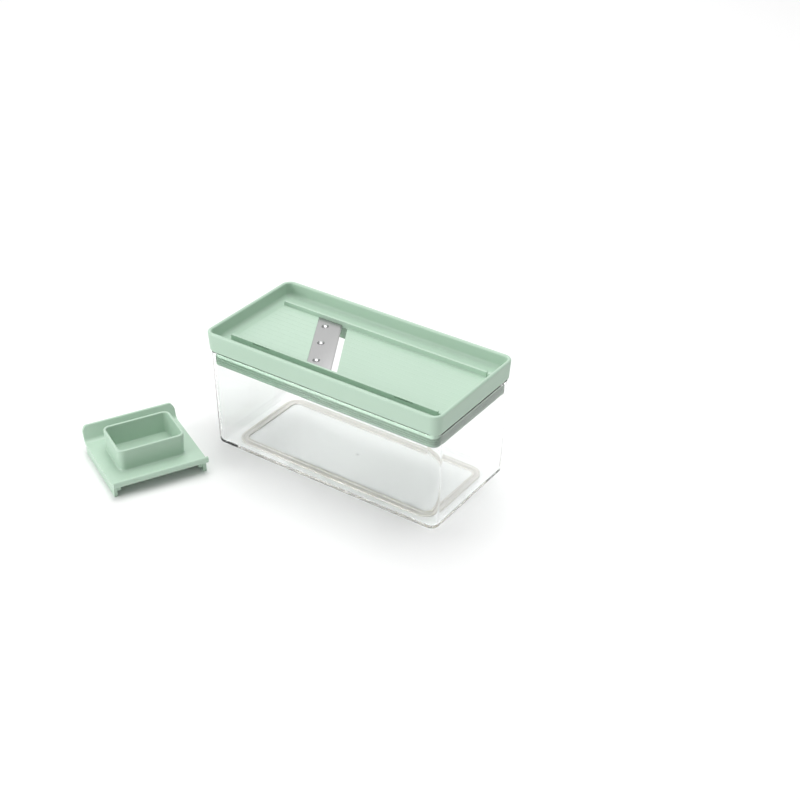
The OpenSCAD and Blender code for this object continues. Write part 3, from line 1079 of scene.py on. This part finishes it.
    def ribs(self) -> list[bmesh.types.BMesh]:
        """Builds the fine anti-stick ribs along both plates.

        Returns:
            One mesh for each rib.
        """
        made = []
        for i in range(self.rib_count):
            y = (i - (self.rib_count - 1) / 2) * self.rib_pitch
            stretches = (
                (self.rail_start + 3 * MM, self.back_place - 0.9 * MM - self.run * y, self.landing_height),
                (self.runup_place + 1.2 * MM - self.run * y, self.rail_end - 2 * MM, 0.0),
            )
            for start, end, raised in stretches:
                section = arc((0, 0), 1.0, 180, 0, 8)
                base = self.floor + raised
                points = [(u * self.rib_width / 2, base + v * self.rib_height) for u, v in section]
                foot = [(self.rib_width / 2, base - 0.1 * MM), (-self.rib_width / 2, base - 0.1 * MM)]
                rib = beam(points + foot, end - start)
                bmesh.ops.translate(rib, verts=rib.verts[:], vec=((start + end) / 2, y, 0))
                made.append(rib)
        return made

    def frame_piece(self) -> bpy.types.Object:
        """Joins everything that is moulded with the frame."""
        bm = bmesh.new()
        parts = [self.tray_mesh(), self.skirt_mesh(), *self.plates(), *self.ribs()]
        parts += [make(side) for side in (-1, 1) for make in (self.rail_mesh, self.stud_mesh)]
        for part in parts:
            absorb(bm, part, self.spot)
        return finish_piece("green_frame", bm)

    def seal_piece(self) -> bpy.types.Object:
        """Builds the seal round the skirt, with two lips and a rounded foot."""
        low, high = (Vector(v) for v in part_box("frame_seal"))
        out = high.x - middle("frame_seal").x - self.axes[0]
        lip, lip_height = 0.4 * MM, 0.8 * MM
        band = out - lip
        toe = self.seat - self.skirt_height
        skirt_in = self.skirt_out - self.skirt_wall
        first, second = high.z - 0.4 * MM, high.z - 2.4 * MM
        root = band - 0.7 * MM
        outline = rounded(
            [
                Corner(skirt_in, low.z, 0.3 * MM, 3),
                Corner(band, low.z, 1.3 * MM, 7),
                Corner(band, second - 2.2 * MM, 0.3 * MM, 3),
                Corner(root, second - 1.8 * MM, 0.1 * MM, 2),
                Corner(root, second - lip_height, 0.1 * MM, 2),
                Corner(out, second - lip_height / 2, 0.15 * MM, 3),
                Corner(root, second, 0.1 * MM, 2),
                Corner(root, first - lip_height, 0.1 * MM, 2),
                Corner(out, first - lip_height / 2, 0.15 * MM, 3),
                Corner(root, first, 0.1 * MM, 2),
                Corner(root, high.z, 0.15 * MM, 2),
                Corner(self.skirt_out + self.hair, high.z, 0.15 * MM, 2),
                Corner(self.skirt_out + self.hair, toe - self.hair, 0.1 * MM, 2),
                Corner(skirt_in, toe - self.hair, 0.2 * MM, 2),
            ]
        )
        bm = bmesh.new()
        absorb(bm, sweep_round(outline, self.axes, closed=True), self.spot)
        return finish_piece("green_seal", bm)

    def blade_piece(self) -> bpy.types.Object:
        """Builds the slanted strip with its ground bevel."""
        half = self.rail_in - self.seat_gap
        bm = prism(self.strip(self.back_place, self.edge_place, half), self.blade_low, self.blade_high)
        across = Vector((math.cos(self.slant), math.sin(self.slant), 0))
        tip = Vector((self.edge_place, 0, 0))
        line = tip - across * self.bevel_width
        bmesh.ops.bisect_plane(
            bm, geom=bm.verts[:] + bm.edges[:] + bm.faces[:], dist=WELD, plane_co=line, plane_no=across
        )
        for vert in bm.verts:
            if (vert.co - tip).dot(across) > -WELD and vert.co.z > self.blade_low + WELD:
                vert.co.z = self.blade_low + self.edge_thickness
        rest = [e for e in bm.edges if e.calc_face_angle(0) > 1 and e.verts[0].co.z > self.blade_high - WELD]
        bevel(bm, rest, 0.06 * MM, 2)
        whole = bmesh.new()
        absorb(whole, bm, self.spot)
        return finish_piece("slicing_strip", whole)

    def rivet_piece(self) -> bpy.types.Object:
        """Builds the domed rivets with their set heads below."""
        low, high = (Vector(v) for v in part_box("blade_rivets"))
        head, rise = 3.1 * MM, high.z - self.blade_high
        ball = (head**2 + rise**2) / (2 * rise)
        opening = math.degrees(math.asin(head / ball))
        crown = arc((0, high.z - ball), ball, 90 - opening, 90, 9)
        outline = [(0, low.z), (2.3 * MM, low.z), (2.6 * MM, low.z + 0.3 * MM), (2.6 * MM, self.under)]
        outline += [(1.5 * MM, self.under), (1.5 * MM, self.blade_high + self.hair)]
        outline += [(head - 0.1 * MM, self.blade_high + self.hair), *crown]
        bm = bmesh.new()
        for i in (-1, 0, 1):
            along = i * self.rivet_pitch
            x = self.back_place + self.rivet_inset / math.cos(self.slant) - along * math.sin(self.slant)
            place = self.spot @ Matrix.Translation((x, along * math.cos(self.slant), 0))
            absorb(bm, lathe(outline, 36), place)
        return finish_piece("domed_rivets", bm)

    def build(self, green: bpy.types.Material, bright: bpy.types.Material) -> None:
        """Builds and dresses the four pieces.

        Args:
            green: the frame's finish.
            bright: the rivets' finish.
        """
        # The seal's green is darker than the frame's: the darkening is painted shade, standing in for the shadow
        # that the rim casts on the seal.
        seal = MouldedPlastic("green_seal", (0.20, 0.29, 0.22), 0.6, 1600.0, scatter=0.05, wear=0.1).build()
        steel = BrushedSteel("blade_steel", math.pi / 2 + self.slant).build()
        body = "slicer_frame"
        dress(self.frame_piece(), green, body, "slicer_frame")
        dress(self.seal_piece(), seal, body, "frame_seal")
        dress(self.blade_piece(), steel, body, "slicing_blade")
        dress(self.rivet_piece(), bright, body, "blade_rivets")


@dataclass
class Holder:
    """The food holder that lies on the table, with its gripping pins."""

    slicer: Slicer
    yaw: float = math.radians(-27.2)
    length: float = 66 * MM
    grip_back: float = 2 * MM
    past_flange: float = 0.8 * MM
    ledge_inset: float = 1 * MM
    plate: float = 2.5 * MM
    flange: float = 3 * MM
    flange_height: float = 9 * MM
    clearance: float = 0.7 * MM
    lift: float = 0.4 * MM
    past_rail: float = 0.4 * MM
    guard_height: float = 12.7 * MM
    guard_lean: float = 20.0
    guard_bend: float = 5 * MM
    guard_corner: float = 7 * MM
    lip_bend: float = 1.8 * MM
    lip_turn: float = 115.0
    grip_length: float = 42 * MM
    grip_width: float = 58 * MM
    grip_height: float = 20 * MM
    grip_wall: float = 2.2 * MM
    grip_corner: float = 6 * MM
    grip_draft: float = 1.2 * MM
    grip_floor: float = 1 * MM
    foot_round: float = 1.6 * MM
    pin_radius: float = 0.8 * MM
    pin_tip: float = 1.6 * MM
    pin_pitch: float = 13 * MM
    pin_rows: float = 20 * MM
    pins_in_row: int = 4
    hair: float = 0.03 * MM
    place: Matrix = field(init=False)

    def __post_init__(self) -> None:
        """Works out where the holder lies and the widths that follow the rails."""
        spot = middle("holder_pins") * Vector((1, 1, 0))
        self.place = Matrix.Translation(spot) @ Matrix.Rotation(self.yaw, 4, "Z")
        self.flange_in = self.slicer.rail_out + self.clearance
        self.half_width = self.flange_in + self.flange
        self.sheet_half = self.half_width + self.past_flange
        self.start, self.end = self.grip_back - self.length / 2, self.grip_back + self.length / 2
        self.top = self.flange_height + self.plate

    def sheet_mesh(self) -> bmesh.types.BMesh:
        """Builds the plate with its bent guard and rolled lip, carried across the holder."""
        turn = 90 - self.guard_lean
        bend_end, roll_end = 270 - turn, 270 + self.lip_turn
        rise = self.guard_bend * (1 - math.cos(math.radians(turn)))
        reach = (self.guard_height - rise) / math.cos(math.radians(self.guard_lean))
        up = Vector((-math.cos(math.radians(turn)), math.sin(math.radians(turn)))) * reach
        bend = (self.start, self.top + self.guard_bend)
        roll = (self.end, self.top + self.lip_bend)

        def spoke(centre: Point, radius: float, angle: float) -> Point:
            """The point at a radius and an angle from a centre."""
            return arc(centre, radius, angle, angle, 1)[0]

        tip = Vector(spoke(bend, self.guard_bend + self.plate / 2, bend_end)) + up
        curl = spoke(roll, self.lip_bend + self.plate / 2, roll_end)
        section = arc((tip.x, tip.y), self.plate / 2, bend_end - 180, bend_end)
        section += arc(bend, self.guard_bend + self.plate, bend_end, 270, 14)
        section += arc(roll, self.lip_bend + self.plate, 270, roll_end, 18)
        section += arc(curl, self.plate / 2, roll_end + 18, roll_end + 162)
        section += arc(roll, self.lip_bend, roll_end, 270, 18)
        section += arc(bend, self.guard_bend, 270, bend_end, 14)
        bm = beam(section, 2 * self.sheet_half)
        bmesh.ops.rotate(bm, verts=bm.verts[:], cent=(0, 0, 0), matrix=Matrix.Rotation(math.pi / 2, 3, "Z"))
        bmesh.ops.scale(bm, verts=bm.verts[:], vec=(-1, 1, 1))
        bmesh.ops.reverse_faces(bm, faces=bm.faces[:])
        self.round_guard(bm)
        bmesh.ops.recalc_face_normals(bm, faces=bm.faces[:])
        return bm

    def round_guard(self, bm: bmesh.types.BMesh) -> None:
        """Cuts the guard's upper corners round, one tangent plane at a time."""
        top = self.top + self.guard_height + self.plate / 2
        r = self.guard_corner
        for side in (-1, 1):
            centre = Vector((0, side * (self.sheet_half - r), top - r))
            for k in range(1, 10):
                angle = math.radians(9 * k)
                way = Vector((0, side * math.sin(angle), math.cos(angle)))
                cut = bmesh.ops.bisect_plane(
                    bm,
                    geom=bm.verts[:] + bm.edges[:] + bm.faces[:],
                    dist=WELD,
                    plane_co=centre + way * r,
                    plane_no=way,
                    clear_outer=True,
                )["geom_cut"]
                rim = only(bmesh.types.BMEdge, cut)
                if rim:
                    bmesh.ops.holes_fill(bm, edges=rim, sides=0)

    def flange_meshes(self) -> list[bmesh.types.BMesh]:
        """Builds the two side flanges, each with the ledge that rides on a rail."""
        ledge = self.flange_height - (self.slicer.rail_height - self.lift)
        reach = self.clearance + self.slicer.rail_wall + self.past_rail
        first, last = self.start - self.guard_bend, self.end
        near_end, far_end = self.start + self.ledge_inset, self.end - self.ledge_inset
        made = []
        for side in (-1, 1):
            inner, outer = side * self.flange_in, side * self.half_width
            wall = [(first, inner), (last, inner), (last, outer), (first, outer)]
            made.append(prism(wall, 0, self.flange_height + 0.6 * MM, 0.35 * MM))
            near = side * (self.flange_in - reach)
            root = inner + side * 0.5 * MM
            step = [(near_end, near), (far_end, near), (far_end, root), (near_end, root)]
            made.append(prism(step, self.flange_height - ledge, self.flange_height + 0.6 * MM, 0.2 * MM))
        return made

    def grip_mesh(self) -> bmesh.types.BMesh:
        """Builds the open box grip with its drafted walls and its foot fillet."""
        foot, head = self.grip_corner - self.grip_draft, self.grip_corner
        top = self.top + self.grip_height
        inside = self.top + self.grip_floor
        outline = rounded(
            [
                Corner(0, self.top - 0.8 * MM),
                Corner(foot + self.foot_round, self.top - 0.8 * MM),
                Corner(foot + self.foot_round, self.top + self.hair),
                Corner(foot, self.top + self.hair, self.foot_round * 0.95, 6),
                Corner(head, top, self.grip_wall * 0.4, 5),
                Corner(head - self.grip_wall, top, self.grip_wall * 0.4, 5),
                Corner(foot - self.grip_wall, inside, 1.2 * MM, 5),
                Corner(0, inside),
            ],
            closed=False,
        )
        half = (self.grip_length / 2 - self.grip_corner, self.grip_width / 2 - self.grip_corner)
        bm = sweep_round(outline, half, closed=False)
        for z in (self.top - 0.8 * MM, inside):
            rim = [e for e in bm.edges if e.is_boundary and abs(e.verts[0].co.z - z) < WELD]
            bmesh.ops.holes_fill(bm, edges=rim, sides=0)
        weld(bm)
        return bm

    def pin_piece(self) -> bpy.types.Object:
        """Builds the pointed gripping pins under the plate."""
        low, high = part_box("holder_pins")[0][2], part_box("holder_pins")[1][2]
        r = self.pin_radius
        outline = [(0, low), (0.15 * MM, low + 0.05 * MM), (r, low + self.pin_tip), (r, high), (0, high)]
        bm = bmesh.new()
        for row in (-1, 1):
            for i in range(self.pins_in_row):
                y = (i - (self.pins_in_row - 1) / 2) * self.pin_pitch
                spot = self.place @ Matrix.Translation((row * self.pin_rows / 2, y, 0))
                absorb(bm, lathe(outline, 20), spot)
        return finish_piece("gripping_pins", bm)

    def build(self, green: bpy.types.Material, bright: bpy.types.Material) -> None:
        """Builds and dresses the holder and its pins.

        Args:
            green: the holder's finish.
            bright: the pins' finish.
        """
        bm = bmesh.new()
        for part in (self.sheet_mesh(), *self.flange_meshes(), self.grip_mesh()):
            absorb(bm, part, self.place)
        dress(finish_piece("green_holder", bm), green, "food_holder", "food_holder")
        dress(self.pin_piece(), bright, "food_holder", "holder_pins")


# ---------------------------------------------------------------- studio


@dataclass(frozen=True)
class Softbox:
    """A square area light that looks at the set."""

    name: str
    place: tuple[float, float, float]
    size: float
    power: float

    def build(self, aim: Vector) -> None:
        """Hangs the light and turns it to the set."""
        light = bpy.data.lights.new(self.name, "AREA")
        light.shape, light.size, light.energy = "SQUARE", self.size, self.power
        lamp = bpy.data.objects.new(self.name, light)
        lamp.location = aim + Vector(self.place)
        lamp.rotation_euler = (aim - lamp.location).to_track_quat("-Z", "Y").to_euler()
        bpy.context.scene.collection.objects.link(lamp)


@dataclass(frozen=True)
class Studio:
    """Pale floor, soft light and the camera."""

    azimuth: float = 34.38
    elevation: float = 32.45
    roll: float = 0.43
    distance: float = 1.195
    lens_ratio: float = 1.82
    aim_height: float = 0.050
    side_step: float = 0.0346
    rise: float = 0.0049
    sky: float = 0.37
    surround: float = 0.92

    def camera(self) -> None:
        """Sets the camera up towards the container's middle."""
        a, e = math.radians(self.azimuth), math.radians(self.elevation)
        back = Vector((math.sin(a) * math.cos(e), -math.cos(a) * math.cos(e), math.sin(e)))
        level = Vector((math.cos(a), math.sin(a), 0))
        tilt = Matrix.Rotation(math.radians(self.roll), 3, back)
        right, up = tilt @ level, tilt @ back.cross(level)
        target = middle("container") * Vector((1, 1, 0)) + Vector((0, 0, self.aim_height))
        data = bpy.data.cameras.new("camera")
        data.sensor_width = 36.0
        data.lens = self.lens_ratio * data.sensor_width
        data.clip_start, data.clip_end = 0.05, 20.0
        camera = bpy.data.objects.new("camera", data)
        turn = Matrix((right, up, back)).transposed().to_4x4()
        place = target + right * self.side_step + up * self.rise + back * self.distance
        camera.matrix_world = Matrix.Translation(place) @ turn
        bpy.context.scene.collection.objects.link(camera)
        bpy.context.scene.camera = camera

    def floor(self) -> None:
        """Lays the pale floor."""
        bm = bmesh.new()
        bmesh.ops.create_grid(bm, x_segments=1, y_segments=1, size=6.0)
        mesh = bpy.data.meshes.new("floor")
        bm.to_mesh(mesh)
        bm.free()
        floor = bpy.data.objects.new("floor", mesh)
        material, _, shader, _ = material_graph("floor")
        shader.inputs["Base Color"].default_value = (0.90, 0.90, 0.90, 1)
        shader.inputs["Roughness"].default_value = 0.9
        shader.inputs["Specular IOR Level"].default_value = 0.1
        mesh.materials.append(material)
        bpy.context.scene.collection.objects.link(floor)

    def light(self) -> None:
        """Sets the sky and the softboxes."""
        scene = bpy.context.scene
        world = bpy.data.worlds.new("studio")
        world.use_nodes = True
        graph = Graph(world.node_tree)
        sky = world.node_tree.nodes["Background"]
        sky.inputs[0].default_value = (1, 1, 1, 1)
        ray = graph.add("LightPath").outputs
        seen = graph.math("ADD", ray["Is Camera Ray"], ray["Is Transmission Ray"], clamp=True)
        glow = graph.math("MULTIPLY_ADD", seen, self.surround - self.sky)
        glow.node.inputs[2].default_value = self.sky
        graph.link(glow, sky.inputs[1])
        scene.world = world
        aim = middle("container") * Vector((1, 1, 0))
        Softbox("overhead", (-0.05, 0.2, 2.15), 1.8, 37.0).build(aim)
        Softbox("back", (-1.05, 1.5, 1.3), 2.0, 12.0).build(aim)
        Softbox("front", (-1.0, -1.9, 0.6), 1.0, 24.0).build(aim)
        scene.view_settings.view_transform = "Standard"

    def build(self) -> None:
        """Sets the whole studio up."""
        self.floor()
        self.light()
        self.camera()


def main() -> None:
    """Builds the set in order."""
    logging.basicConfig(level=logging.INFO, format="%(name)s: %(message)s")
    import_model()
    green = MouldedPlastic("green_plastic", (0.45, 0.60, 0.485)).build()
    bright = PolishedSteel("rivet_steel").build()
    box = Box()
    box.build()
    slicer = Slicer(box)
    slicer.build(green, bright)
    Holder(slicer).build(green, bright)
    Studio().build()


if __name__ == "__main__":
    main()
